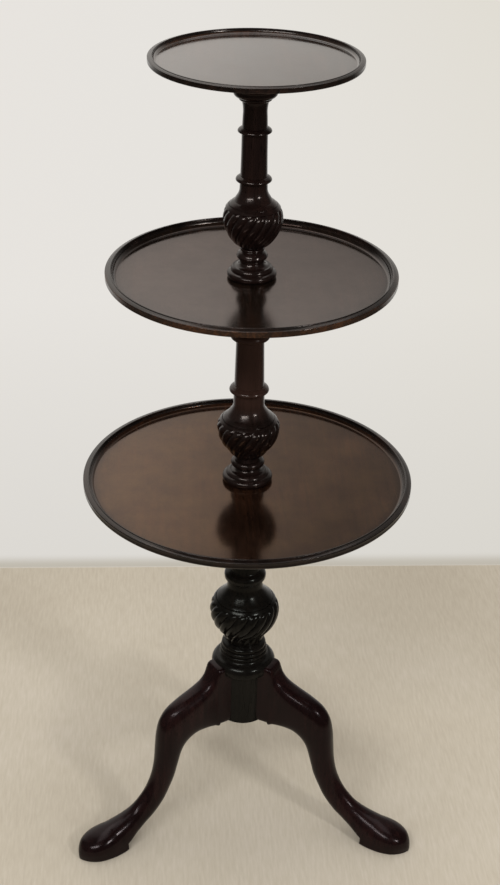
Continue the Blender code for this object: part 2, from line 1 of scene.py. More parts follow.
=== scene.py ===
"""Looks of a three-tier dumbwaiter table in polished mahogany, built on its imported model.

The file follows the table as it is put together: the pillar that the legs join, the legs and
their plate, then tray by tray upwards, and last the floor, the light and the camera.
"""
import math

import bmesh
import bpy
import numpy as np
from mathutils import Matrix, Vector


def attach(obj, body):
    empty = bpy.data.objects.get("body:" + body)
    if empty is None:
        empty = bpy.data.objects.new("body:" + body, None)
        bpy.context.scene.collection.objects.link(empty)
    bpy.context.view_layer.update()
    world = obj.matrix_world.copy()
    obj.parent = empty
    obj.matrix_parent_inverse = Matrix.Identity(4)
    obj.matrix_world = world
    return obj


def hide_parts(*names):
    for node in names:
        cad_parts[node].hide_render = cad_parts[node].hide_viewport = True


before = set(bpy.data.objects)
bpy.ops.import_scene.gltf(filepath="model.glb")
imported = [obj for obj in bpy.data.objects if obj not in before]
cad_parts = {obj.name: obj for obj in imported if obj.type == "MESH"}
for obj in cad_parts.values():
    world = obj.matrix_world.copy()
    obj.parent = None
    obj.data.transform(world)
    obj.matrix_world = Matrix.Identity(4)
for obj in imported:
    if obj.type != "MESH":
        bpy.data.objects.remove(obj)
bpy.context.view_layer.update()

# Base pillar: one turned piece of mahogany whose hub takes the legs. A torus and rings lead to an
# urn with eighteen lobes that wind round it, carved by hand after turning, and a plain shaft under
# the cap that carries the lowest tray. The frame's origin isn't on the pillar's axis.
millimetre = 0.001
axis_setback = 27 * millimetre
axis = Vector((0, -axis_setback, 0))
# Points of a piece this close together are one, and so are those of two slices a hair apart
weld = 0.001 * millimetre
hair = 0.01 * millimetre
# Degrees between two faces from which their edge stays sharp
turned_corner = 32
arc_steps = 8
# Lobes: depth as a share of the radius, turn on the way up, share of the way over which they
# deepen, power that rounds their crowns, and in millimetres the plain strip above them and the
# length over which they round off below it
lobes = 18
lobe_facets = 8
lobe_depth_share = 0.065
lobe_turn = math.radians(60)
lobe_start = 0.3
lobe_crown = 0.6
lobe_strip = 0.6
lobe_end = 7.5
lobe_rows = 18
lobe_end_rows = 10
# Mouldings from bottom to top in millimetres: name, radius, height and bulge of the arc that leads
# to the point
base_outline = (
    ("end", 0.0, 158.0, 0),
    ("hub", 36.0, 158.0, 0),
    ("hub", 36.0, 240.2, 0),
    ("torus", 42.6, 241.2, 0),
    ("torus", 44.6, 243.2, 0.20),
    ("torus", 40.6, 256.6, 0.16),
    ("step", 36.4, 258.4, 0.10),
    ("cove", 31.6, 263.4, -0.15),
    ("ring", 32.6, 263.8, 0),
    ("ring", 32.0, 268.4, 0.30),
    ("quirk", 30.8, 268.8, 0),
    ("ring", 31.6, 269.2, 0),
    ("ring", 30.6, 274.6, 0.28),
    ("quirk", 29.4, 275.0, 0),
    ("ring", 30.2, 275.4, 0),
    ("ring", 28.0, 282.4, 0.28),
    ("neck", 25.0, 284.0, 0),
    ("bowl", 33.0, 301.9, 0.02),
    ("bowl", 48.0, 328.0, 0.08),
    ("bowl", 43.9, 351.6, 0.10),
    ("band", 40.8, 355.2, 0.02),
    ("quirk", 39.6, 355.0, 0),
    ("quirk", 39.4, 356.4, 0),
    ("shoulder", 34.6, 361.0, 0.02),
    ("shoulder", 29.2, 367.4, 0),
    ("cove", 24.5, 379.0, -0.08),
    ("neck", 24.0, 384.4, 0),
    ("astragal", 25.0, 384.8, 0),
    ("astragal", 25.2, 388.2, 0.30),
    ("bead", 26.8, 388.6, 0),
    ("bead", 28.6, 391.8, 0.20),
    ("bead", 22.9, 402.2, 0.22),
    ("shaft", 21.0, 405.0, -0.10),
    ("shaft", 20.6, 460.1, 0),
    ("bead", 20.6, 471.5, 0.60),
    ("neck", 20.2, 482.0, 0),
    ("flare", 22.0, 499.9, -0.05),
    ("ring", 26.0, 504.4, 0.30),
    ("ring", 34.0, 512.6, 0.25),
    ("cove", 41.0, 518.9, -0.20),
    ("cap", 46.0, 520.9, 0),
    ("cap", 46.0, 524.0, 0),
    ("end", 0.0, 524.0, 0),
)


def arc(start, end, bulge, steps):
    """Points after start on the arc to end; a bulge is its height as a share of its chord."""
    if not bulge:
        return [end]
    half = 2 * math.atan(2 * bulge)
    points = []
    for step in range(1, steps + 1):
        angle = half * (2 * step / steps - 1)
        along = 0.5 * (1 + math.sin(angle) / math.sin(half))
        out = (math.cos(angle) - math.cos(half)) / (2 * math.sin(half))
        points.append((start[0] + along * (end[0] - start[0]) + out * (end[1] - start[1]),
                       start[1] + along * (end[1] - start[1]) - out * (end[0] - start[0])))
    return points


def outline_points(outline, kinds):
    """Points of the mouldings of these kinds, each with its neighbours' arcs in small steps."""
    points = []
    for (_, *start, _), (kind, radius, height, bulge) in zip(outline[:1] + outline, outline):
        if kind in kinds or not kinds:
            points += arc(tuple(start), (radius, height), bulge, arc_steps)
    return points


def bowl_rows(bowl):
    """Rows up a bowl: radius, height, climb as a share and distance to the lobes' upper ends."""
    bowl = np.array(bowl)
    run = np.concatenate(([0], np.cumsum(np.hypot(*np.diff(bowl, axis=0).T))))
    edge = run[-1] - lobe_strip
    lower = np.linspace(0, edge - lobe_end, lobe_rows)
    upper = np.linspace(edge - lobe_end, edge, lobe_end_rows + 1)
    places = np.concatenate((lower, upper[1:], run[-1:]))
    return [(np.interp(place, run, bowl[:, 0]), np.interp(place, run, bowl[:, 1]), place / run[-1],
             edge - place) for place in places]


def mesh_of(bm, name):
    """The finished shape as a mesh of this name."""
    mesh = bpy.data.meshes.new(name)
    bm.to_mesh(mesh)
    bm.free()
    return mesh


def wedge_mesh(name, outline):
    """One lobe's slice of a pillar, from end to end, round the Z axis."""
    split = [index for index, row in enumerate(outline) if row[0] == "bowl"]
    below = outline_points(outline[:split[0]], ())
    bowl = below[-1:] + outline_points(outline[split[0] - 1:split[-1] + 1], ("bowl",))
    above = outline_points(outline[split[-1]:], ())[1:]
    # Radius, height, share of the climb, distance to the lobes' upper ends, and 1 on the bowl
    rows = [(radius, height, 0, 0, 0) for radius, height in below[:-1]]
    rows += [(*row, 1) for row in bowl_rows(bowl)]
    rows += [(radius, height, 1, 0, 0) for radius, height in above]
    bm = bmesh.new()
    rings = []
    for radius, height, climb, below_end, lobed in rows:
        ring = []
        for step in range(lobe_facets + 1):
            across = 2 * step / lobe_facets - 1
            reach = radius
            if lobed and below_end >= 0:
                dome = max(0, 1 - below_end / lobe_end) ** 2
                crown = max(0, 1 - across ** 2 - dome) ** lobe_crown
                reach -= lobe_depth_share * radius * min(1, climb / lobe_start) * (1 - crown)
            angle = math.tau / lobes * step / lobe_facets + lobe_turn * climb
            ring.append(bm.verts.new((reach * math.cos(angle) * millimetre,
                                      reach * math.sin(angle) * millimetre, height * millimetre)))
        rings.append(ring)
    for low, high in zip(rings, rings[1:]):
        for near, far in zip(range(lobe_facets), range(1, lobe_facets + 1)):
            bm.faces.new((low[near], low[far], high[far], high[near]))
    bmesh.ops.remove_doubles(bm, verts=bm.verts, dist=weld)
    return mesh_of(bm, name)


def colour(code):
    """Linear colour of an sRGB hex value."""
    parts = [int(code[at:at + 2], 16) / 255 for at in (1, 3, 5)]
    return (*(part / 12.92 if part <= 0.04045 else ((part + 0.055) / 1.055) ** 2.4 for part in parts), 1)


def add(tree, kind, inputs=None, stops=(), **settings):
    """Add a node with its settings; an input is a value, or a socket to link from.

    Stops are a ramp's places and hex colours. In a mix of colours, inputs 6 and 7 are the colours
    and output 2 is the blend.
    """
    node = tree.nodes.new(kind)
    for name, value in settings.items():
        setattr(node, name, value)
    for name, value in (inputs or {}).items():
        if isinstance(value, bpy.types.NodeSocket):
            tree.links.new(value, node.inputs[name])
        else:
            node.inputs[name].default_value = value
    for number, (place, code) in enumerate(stops):
        if number == len(node.color_ramp.elements):
            node.color_ramp.elements.new(1)
        node.color_ramp.elements[number].position = place
        node.color_ramp.elements[number].color = colour(code)
    return node


def new_material(name):
    """A material with its node tree, its surface and the socket of the place on the object."""
    material = bpy.data.materials.new(name)
    material.use_nodes = True
    tree = material.node_tree
    place = add(tree, "ShaderNodeTexCoord").outputs["Object"]
    return material, tree, tree.nodes["Principled BSDF"], place


def polished_mahogany(name, dark, mid, light, grain_turn, gloss, shine, warmth, wax=0.0):
    """Old mahogany under shellac and wax: dark figured wood with open pores, seen through a clear
    film. Its own sheen is warm where the light glances off the fibres, and the film's is white.
    """
    material, tree, surface, place = new_material(name)
    along = add(tree, "ShaderNodeMapping", {"Vector": place, "Rotation": grain_turn}).outputs["Vector"]
    # Growth bands about 6 mm wide that wander, and a slow change of tone over a hand's width
    stretched = add(tree, "ShaderNodeMapping", {"Vector": along, "Scale": (150, 150, 7)}).outputs["Vector"]
    bands = add(tree, "ShaderNodeTexNoise", {"Vector": stretched, "Scale": 1, "Detail": 5,
                                             "Roughness": 0.6, "Distortion": 0.6})
    tone = add(tree, "ShaderNodeTexNoise", {"Vector": along, "Scale": 9, "Detail": 3, "Roughness": 0.55})
    # Pores: dashes about 0.6 mm wide and 12 mm long
    dashes = add(tree, "ShaderNodeMapping", {"Vector": along, "Scale": (1100, 1100, 55)}).outputs["Vector"]
    pores = add(tree, "ShaderNodeTexNoise", {"Vector": dashes, "Scale": 1, "Detail": 2, "Roughness": 0.5})
    open_pores = add(tree, "ShaderNodeMapRange", {"Value": pores.outputs["Fac"], "From Min": 0.60,
                                                  "From Max": 0.70})
    blend = add(tree, "ShaderNodeMath", {0: bands.outputs["Fac"], 1: tone.outputs["Fac"]}, operation="ADD")
    spread = add(tree, "ShaderNodeMapRange", {"Value": blend.outputs[0], "From Min": 0.72,
                                              "From Max": 1.28})
    wood = add(tree, "ShaderNodeValToRGB", {"Fac": spread.outputs[0]}, label="figure",
               stops=((0, dark), (0.5, mid), (1, light)))
    pored = add(tree, "ShaderNodeMix", {"Factor": open_pores.outputs[0], 6: wood.outputs[0],
                                        7: colour(dark)}, data_type="RGBA", blend_type="MULTIPLY")
    tree.links.new(pored.outputs[2], surface.inputs["Base Color"])
    # Worn wax: the film is duller in slow patches and over the pores
    rough = add(tree, "ShaderNodeMapRange", {"Value": tone.outputs["Fac"], "From Min": 0.3, "From Max": 0.7,
                                             "To Min": gloss * 0.8, "To Max": gloss * 1.25})
    tree.links.new(rough.outputs[0], surface.inputs["Roughness"])
    # Bump: sunken pores and the faint ripple of hand finishing
    ripple = add(tree, "ShaderNodeTexNoise", {"Vector": place, "Scale": 45, "Detail": 2, "Roughness": 0.5})
    relief = add(tree, "ShaderNodeMath", {0: open_pores.outputs[0], 1: -0.10, 2: ripple.outputs["Fac"]},
                 operation="MULTIPLY_ADD")
    bump = add(tree, "ShaderNodeBump", {"Height": relief.outputs[0], "Strength": 0.05,
                                        "Distance": 0.5 * millimetre})
    tree.links.new(bump.outputs["Normal"], surface.inputs["Normal"])
    surface.inputs["IOR"].default_value = 1.5
    surface.inputs["Specular IOR Level"].default_value = shine
    surface.inputs["Specular Tint"].default_value = colour(warmth)
    surface.inputs["Coat Weight"].default_value = wax
    surface.inputs["Coat Roughness"].default_value = 0.10
    surface.inputs["Coat IOR"].default_value = 1.5
    return material


def new_tree(name, inputs, result):
    """Geometry Nodes with inputs of these names and kinds, and the sockets that give them."""
    tree = bpy.data.node_groups.new(name, "GeometryNodeTree")
    for label, kind in inputs.items():
        tree.interface.new_socket(label, in_out="INPUT", socket_type="NodeSocket" + kind)
    tree.interface.new_socket(result, in_out="OUTPUT", socket_type="NodeSocketGeometry")
    return tree, add(tree, "NodeGroupInput").outputs


def repeat_tree():
    """Geometry Nodes that repeat one slice round the Z axis, weld the slices and give them a finish."""
    tree, given = new_tree("repeat_round_axis", {"Slice": "Geometry", "Count": "Int",
                                                 "Finish": "Material"}, "Whole")
    step = add(tree, "ShaderNodeMath", {0: math.tau, 1: given["Count"]}, operation="DIVIDE")
    points = add(tree, "GeometryNodeMeshLine", {"Count": given["Count"], "Offset": (0, 0, 0)})
    number = add(tree, "GeometryNodeInputIndex")
    turn = add(tree, "ShaderNodeMath", {0: number.outputs[0], 1: step.outputs[0]}, operation="MULTIPLY")
    rotation = add(tree, "ShaderNodeCombineXYZ", {"Z": turn.outputs[0]})
    copies = add(tree, "GeometryNodeInstanceOnPoints", {"Points": points.outputs[0],
                 "Instance": given["Slice"], "Rotation": rotation.outputs[0]})
    real = add(tree, "GeometryNodeRealizeInstances", {0: copies.outputs[0]})
    welded = add(tree, "GeometryNodeMergeByDistance", {"Geometry": real.outputs[0], "Distance": hair})
    finished = add(tree, "GeometryNodeSetMaterial", {"Geometry": welded.outputs[0],
                                                     "Material": given["Finish"]})
    add(tree, "NodeGroupOutput", {0: finished.outputs[0]})
    return tree


def run_tree(obj, tree, **inputs):
    """Give an object a tree with its inputs by name, and keep the result as its plain mesh."""
    modifier = obj.modifiers.new(tree.name, "NODES")
    modifier.node_group = tree
    for item in tree.interface.items_tree:
        if item.in_out == "INPUT" and item.name in inputs:
            modifier[item.identifier] = inputs[item.name]
    bpy.context.view_layer.update()
    made = bpy.data.meshes.new_from_object(obj.evaluated_get(bpy.context.evaluated_depsgraph_get()))
    obj.modifiers.remove(modifier)
    made.name = obj.name
    obj.data = made
    return obj


def new_object(name, mesh):
    """Link a mesh to the scene as an object at the origin."""
    obj = bpy.data.objects.new(name, mesh)
    bpy.context.scene.collection.objects.link(obj)
    return obj


def smoothed(obj, corner):
    """Move a mesh to the pillar's axis and shade it smooth but for corners of this many degrees."""
    obj.data.transform(Matrix.Translation(axis))
    obj.data.shade_smooth()
    obj.data.set_sharp_from_angle(angle=math.radians(corner))
    return obj


def pillar(name, outline, node, finish):
    """A pillar section made of its repeated slice, standing for its CAD node."""
    obj = new_object(name, wedge_mesh(name, outline))
    run_tree(obj, round_axis, Count=lobes, Finish=finish)
    smoothed(obj, turned_corner)
    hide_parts(node)
    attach(obj, "stand")


round_axis = repeat_tree()
grain_up = (0, 0, 0)
# Turned mahogany: the grain runs up the pillar, so dark with old polish that it looks black
base_mahogany = polished_mahogany("turned_mahogany_near_black", "#0c0a09", "#110f0d", "#191512",
                                  grain_up, gloss=0.19, shine=0.11, warmth="#fbfff6")
pillar("turned_base_pillar", base_outline, "base_pillar", base_mahogany)

# Legs: three cabriole legs, each sawn and carved from one mahogany plank. A squared hip sits in the
# hub with a dovetail, the knee rounds off soon after it, the ankle is round, and the foot is a
# pointed pad with a square heel.
leg_azimuths = {"left_leg": -150, "right_leg": -30, "back_leg": 90}
leg_sides = 56
leg_steps = 5
carved_corner = 38
# Sections from the hub to the toe in millimetres: crest out and up, underside out and up, half
# width, place of the widest line from the underside as a share, squareness above and below
leg_sections = (
    (30.0, 253.5, 30.0, 158.0, 17.5, 0.50, 12, 12),
    (44.0, 253.5, 44.0, 158.0, 17.5, 0.50, 12, 12),
    (49.0, 252.9, 47.0, 157.9, 17.5, 0.50, 9, 11),
    (51.5, 251.0, 49.0, 154.8, 17.5, 0.50, 7, 11),
    (53.6, 247.0, 51.5, 155.6, 17.5, 0.50, 5.5, 11),
    (57.0, 239.8, 56.0, 157.6, 17.7, 0.50, 4.2, 9),
    (64.0, 231.6, 66.0, 158.4, 18.2, 0.53, 3.5, 6.5),
    (75.0, 225.0, 77.0, 157.9, 18.9, 0.56, 3.0, 4.8),
    (89.0, 219.2, 88.0, 155.2, 19.4, 0.58, 2.7, 3.8),
    (106.5, 212.6, 98.5, 148.0, 19.5, 0.58, 2.5, 3.2),
    (124.5, 203.2, 105.5, 138.5, 19.0, 0.56, 2.4, 2.9),
    (136.8, 188.0, 109.8, 127.0, 18.1, 0.54, 2.3, 2.7),
    (142.8, 168.0, 112.8, 114.5, 16.9, 0.52, 2.2, 2.6),
    (145.2, 145.0, 115.5, 103.5, 15.7, 0.51, 2.2, 2.5),
    (147.7, 120.0, 119.5, 89.0, 14.6, 0.50, 2.1, 2.4),
    (153.6, 94.8, 126.5, 73.0, 13.9, 0.50, 2.1, 2.3),
    (165.6, 72.0, 137.0, 54.5, 13.8, 0.50, 2.1, 2.4),
    (183.3, 54.5, 151.5, 37.0, 14.4, 0.49, 2.1, 2.2),
    (200.0, 46.3, 170.0, 24.5, 16.2, 0.46, 2.1, 2.3),
    (216.0, 41.3, 188.0, 15.5, 19.6, 0.38, 2.1, 3.0),
    (226.0, 38.9, 203.8, 9.4, 22.4, 0.24, 2.2, 5.5),
)
foot_sections = (
    (226.5, 38.8, 204.1, 0.0, 22.5, 0.42, 2.2, 16),
    (234.0, 36.8, 212.0, 0.0, 24.4, 0.40, 2.3, 18),
    (243.0, 34.2, 224.0, 0.0, 25.6, 0.38, 2.4, 20),
    (251.0, 31.4, 237.0, 0.0, 25.3, 0.37, 2.4, 20),
    (258.5, 28.0, 249.0, 0.0, 22.9, 0.37, 2.4, 20),
    (264.5, 24.6, 258.5, 0.0, 18.6, 0.38, 2.4, 18),
    (269.5, 18.8, 265.5, 0.0, 12.8, 0.40, 2.3, 16),
    (272.6, 12.0, 270.5, 0.0, 6.6, 0.42, 2.2, 12),
    (273.8, 6.0, 273.0, 0.0, 1.6, 0.45, 2.1, 6),
)


def smooth_rows(rows, steps):
    """Rows on a smooth curve through these rows."""
    rows = np.array(rows, float)
    padded = np.vstack((2 * rows[0] - rows[1], rows, 2 * rows[-1] - rows[-2]))
    made = []
    for before, start, end, after in zip(padded, padded[1:], padded[2:], padded[3:]):
        for way in np.arange(steps) / steps:
            made.append(start + 0.5 * way * (end - before + way * (2 * before - 5 * start + 4 * end - after
                        + way * (3 * (start - end) + after - before))))
    made.append(rows[-1])
    return made


def leg_ring(row):
    """Points round one section, from its crest round to its crest, in the leg's own plane."""
    crest, under = np.array(row[0:2]), np.array(row[2:4])
    half_width, belly, square_above, square_below = row[4:8]
    waist = under + belly * (crest - under)
    ring = []
    for step in range(leg_sides):
        angle = math.tau * step / leg_sides
        up, across = math.cos(angle), math.sin(angle)
        end, power = (crest, 2 / square_above) if up > 0 else (under, 2 / square_below)
        point = waist + abs(up) ** power * (end - waist)
        width = half_width * abs(across) ** power
        aside = math.copysign(width, across)
        ring.append((point[0] * millimetre, aside * millimetre, point[1] * millimetre))
    return ring


def leg_shape(name):
    """The carved leg along +X from the axis."""
    bm = bmesh.new()
    rows = smooth_rows(leg_sections, leg_steps) + smooth_rows(foot_sections, leg_steps)
    rings = [[bm.verts.new(point) for point in leg_ring(row)] for row in rows]
    for low, high in zip(rings, rings[1:]):
        for near in range(len(low)):
            far = (near + 1) % len(low)
            bm.faces.new((low[near], low[far], high[far], high[near]))
    bm.faces.new(rings[0])
    bm.faces.new(rings[-1])
    bmesh.ops.remove_doubles(bm, verts=bm.verts, dist=weld)
    bmesh.ops.recalc_face_normals(bm, faces=bm.faces)
    return mesh_of(bm, name)


# Carved mahogany: the same wood and finish as the pillar, a little redder where hands wear it
carved_mahogany = polished_mahogany("carved_mahogany_shellac", "#0d0505", "#140909", "#20100f",
                                    grain_up, gloss=0.20, shine=0.16, warmth="#fff0f2")
for node, azimuth in leg_azimuths.items():
    leg = new_object("carved_" + node, leg_shape("carved_" + node))
    leg.data.transform(Matrix.Rotation(math.radians(azimuth), 4, "Z"))
    smoothed(leg, carved_corner)
    leg.data.materials.append(carved_mahogany)
    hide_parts(node)
    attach(leg, "stand")

# Leg plate: wrought iron a little over 2 mm thick, blackened, that keeps the dovetails in the hub.
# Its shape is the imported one, and six slotted iron screws hold it.
plate_screw_angles = tuple(math.radians(azimuth) for azimuth in leg_azimuths.values())
hub_screw_circle = 12.0
leg_screw_circle = 40.5
plate_face = 155.2
screw_head_radius = 3.5
screw_head_depth = 1.8
screw_shank_share = 0.5
screw_slot_width = 0.8
screw_slot_depth = 0.7
screw_sides = 32


def old_metal(name, dark, light, roughness):
    """Metal that has darkened in the air, brighter where it was filed."""
    material, tree, surface, place = new_material(name)
    # Scale and stain in spots of 1 to 3 mm
    spots = add(tree, "ShaderNodeTexNoise", {"Vector": place, "Scale": 450, "Detail": 4, "Roughness": 0.65})
    skin = add(tree, "ShaderNodeValToRGB", {"Fac": spots.outputs["Fac"]}, label="stain",
               stops=((0.35, dark), (0.7, light)))
    tree.links.new(skin.outputs[0], surface.inputs["Base Color"])
    dull = add(tree, "ShaderNodeMapRange", {"Value": spots.outputs["Fac"], "To Min": roughness + 0.15,
                                            "To Max": roughness - 0.1})
    tree.links.new(dull.outputs[0], surface.inputs["Roughness"])
    bump = add(tree, "ShaderNodeBump", {"Height": spots.outputs["Fac"], "Strength": 0.3,
                                        "Distance": 0.2 * millimetre})
    tree.links.new(bump.outputs["Normal"], surface.inputs["Normal"])
    surface.inputs["Metallic"].default_value = 1
    return material


def screw_mesh(name):
    """Head of a countersunk screw that faces down, with its slot along X."""
    bm = bmesh.new()
    half = screw_slot_width / 2
    rim = []
    for step in range(screw_sides):
        angle = math.tau * step / screw_sides
        rim.append((screw_head_radius * math.cos(angle), screw_head_radius * math.sin(angle)))
    face_ring = [bm.verts.new((x * millimetre, y * millimetre, 0)) for x, y in rim]
    shank_ring = [bm.verts.new((screw_shank_share * x * millimetre, screw_shank_share * y * millimetre,
                                screw_head_depth * millimetre)) for x, y in rim]
    for near in range(screw_sides):
        far = (near + 1) % screw_sides
        bm.faces.new((face_ring[near], shank_ring[near], shank_ring[far], face_ring[far]))
    bm.faces.new(shank_ring)
    bm.faces.new(reversed(face_ring))
    for side in (-half, half):
        bmesh.ops.bisect_plane(bm, geom=bm.verts[:] + bm.edges[:] + bm.faces[:],
                               plane_co=(0, side * millimetre, 0), plane_no=(0, 1, 0))
    for face in bm.faces[:]:
        centre = face.calc_center_median()
        if centre.z < hair and abs(centre.y) < half * millimetre:
            made = bmesh.ops.extrude_face_region(bm, geom=[face])["geom"]
            bmesh.ops.translate(bm, vec=(0, 0, screw_slot_depth * millimetre),
                                verts=[part for part in made if isinstance(part, bmesh.types.BMVert)])
            bm.faces.remove(face)
    bmesh.ops.recalc_face_normals(bm, faces=bm.faces)
    return mesh_of(bm, name)


def screws_tree():
    """Geometry Nodes that set one screw at every point, each with its slot at an odd angle."""
    tree, given = new_tree("set_of_screws", {"Places": "Geometry", "Screw": "Object", "Seed": "Int",
                                             "Finish": "Material"}, "Screws")
    blank = add(tree, "GeometryNodeObjectInfo", {"Object": given["Screw"]})
    chance = add(tree, "FunctionNodeRandomValue", {"Seed": given["Seed"]}, data_type="FLOAT")
    chance.inputs[3].default_value = math.pi
    rotation = add(tree, "ShaderNodeCombineXYZ", {"Z": chance.outputs[1]})
    copies = add(tree, "GeometryNodeInstanceOnPoints", {"Points": given["Places"],
                 "Instance": blank.outputs["Geometry"], "Rotation": rotation.outputs[0]})
    real = add(tree, "GeometryNodeRealizeInstances", {0: copies.outputs[0]})
    finished = add(tree, "GeometryNodeSetMaterial", {"Geometry": real.outputs[0],
                                                     "Material": given["Finish"]})
    add(tree, "NodeGroupOutput", {0: finished.outputs[0]})
    return tree


def set_of_screws(name, places, seed, finish, nodes, body):
    """Screws at these places in millimetres from the pillar's axis, standing for their CAD nodes."""
    mesh = bpy.data.meshes.new(name)
    mesh.from_pydata([tuple(part * millimetre for part in place) for place in places], [], [])
    obj = run_tree(new_object(name, mesh), screws_round, Screw=one_screw, Seed=seed, Finish=finish)
    obj.data.transform(Matrix.Translation(axis))
    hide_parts(*nodes)
    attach(obj, body)


screws_round = screws_tree()
one_screw = new_object("screw_blank", screw_mesh("screw_blank"))
# Wrought iron: black scale with a dull sheen
black_iron = old_metal("blackened_wrought_iron", "#2b2826", "#5c5752", roughness=0.5)
leg_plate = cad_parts["leg_plate"]
leg_plate.data.materials.clear()
leg_plate.data.materials.append(black_iron)
plate_screws = [(circle * math.cos(angle), circle * math.sin(angle), plate_face)
                for circle in (hub_screw_circle, leg_screw_circle) for angle in plate_screw_angles]
set_of_screws("iron_plate_screws", plate_screws, seed=3, finish=black_iron,
              nodes=["leg_plate_screw_%d" % number for number in range(1, 7)], body="stand")

# Lowest tray: one wide mahogany board, turned with a dished floor, a rim of two beads and a thin
# edge. A turned collar screwed under it rides on the pillar's cap, so that the tray revolves.
tray_sides = 360
bearer_sides = 96
rim_steps = 6
spindle_bore = 16.5
board_thickness = 6.8
# Under its edge the board thins in a flat swell
swell_width = 25
swell_bulge = -0.05
# Shares of the rim's width from the edge inwards that take the rim's and the edge's finish
rim_polish_share = 0.70
edge_polish_share = 0.04
# The lower edge of the collars and the block is rounded by a quarter circle, whose bulge this is
bearer_rounding = 5
quarter_round = 0.207
lower_tray_radius = 219.6
lower_tray_rim = 13.0
# Rim from the edge inwards: share of the rim's width, share of the dish's depth and bulge of the
# arc that leads to the point
rim_shape = (
    (0.06, -0.36, 0),
    (0.00, 0.18, 0.12),
    (0.00, 0.80, 0),
    (0.05, 0.97, 0.25),
    (0.09, 0.98, 0.20),
    (0.46, 1.14, 0.05),
    (0.56, 1.26, 0.22),
    (0.63, 1.10, 0.20),
    (0.80, 0.26, -0.10),
    (1.12, 0.00, -0.12),
)


def turned(name, points, sides):
    """Turn points (radius, height) in millimetres round the pillar's axis into a closed piece."""
    bm = bmesh.new()
    verts = [bm.verts.new((radius * millimetre, 0, height * millimetre)) for radius, height in points]
    edges = [bm.edges.new(pair) for pair in zip(verts, verts[1:])]
    bmesh.ops.spin(bm, geom=verts + edges, cent=Vector(), axis=(0, 0, 1), angle=math.tau, steps=sides,
                   use_merge=True)
    bmesh.ops.remove_doubles(bm, verts=bm.verts, dist=weld)
    bmesh.ops.recalc_face_normals(bm, faces=bm.faces)
    return smoothed(new_object(name, mesh_of(bm, name)), turned_corner)


def tray(node, radius, floor, depth, rim, edge, bore, finishes, body):
    """A dished tray standing for its CAD node, with finishes for its board, its rim and its edge."""
    underside = floor - board_thickness
    points = [(bore, underside), (radius - swell_width, underside)]
    start = (radius - rim_shape[0][0] * rim, floor + depth - edge)
    points += arc(points[-1], start, swell_bulge, rim_steps)
    for share, up, bulge in rim_shape[1:]:
        points += arc(points[-1], (radius - share * rim, floor + up * depth), bulge, rim_steps)
    points.append((bore, floor))
    if bore:
        points.append(points[0])
    obj = turned("turned_" + node, points, tray_sides)
    for finish in finishes:
        obj.data.materials.append(finish)
    for face in obj.data.polygons:
        inwards = radius - (face.center - axis).xy.length / millimetre
        if inwards < rim_polish_share * rim:
            face.material_index = len(finishes) - 1 if inwards < edge_polish_share * rim else 1
    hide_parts(node)
    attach(obj, body)


def bearer(node, radius, depth, head, bore, ceiling, finish, body):
    """A turned collar under a tray, or a block with a ceiling to its bore, for its CAD node."""
    foot = head - depth
    points = [(bore, foot), (radius - bearer_rounding, foot)]
    points += arc(points[-1], (radius, foot + bearer_rounding), quarter_round, rim_steps)
    points += [(radius, head), (0 if ceiling else bore, head)]
    if ceiling:
        points = [(0, foot + ceiling), (bore, foot + ceiling)] + points
    else:
        points.append(points[0])
    obj = turned("turned_" + node, points, bearer_sides)
    obj.data.materials.append(finish)
    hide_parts(node)
    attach(obj, body)
    circle = (spindle_bore + radius) / 2
    angles = [math.tau * (number + 0.5) / 4 for number in range(4)]
    places = [(circle * math.cos(angle), circle * math.sin(angle), foot) for angle in angles]
    set_of_screws("brass_screws_of_" + node, places, seed=len(node), finish=old_brass,
                  nodes=[node + "_screw_%d" % number for number in range(1, 5)], body=body)


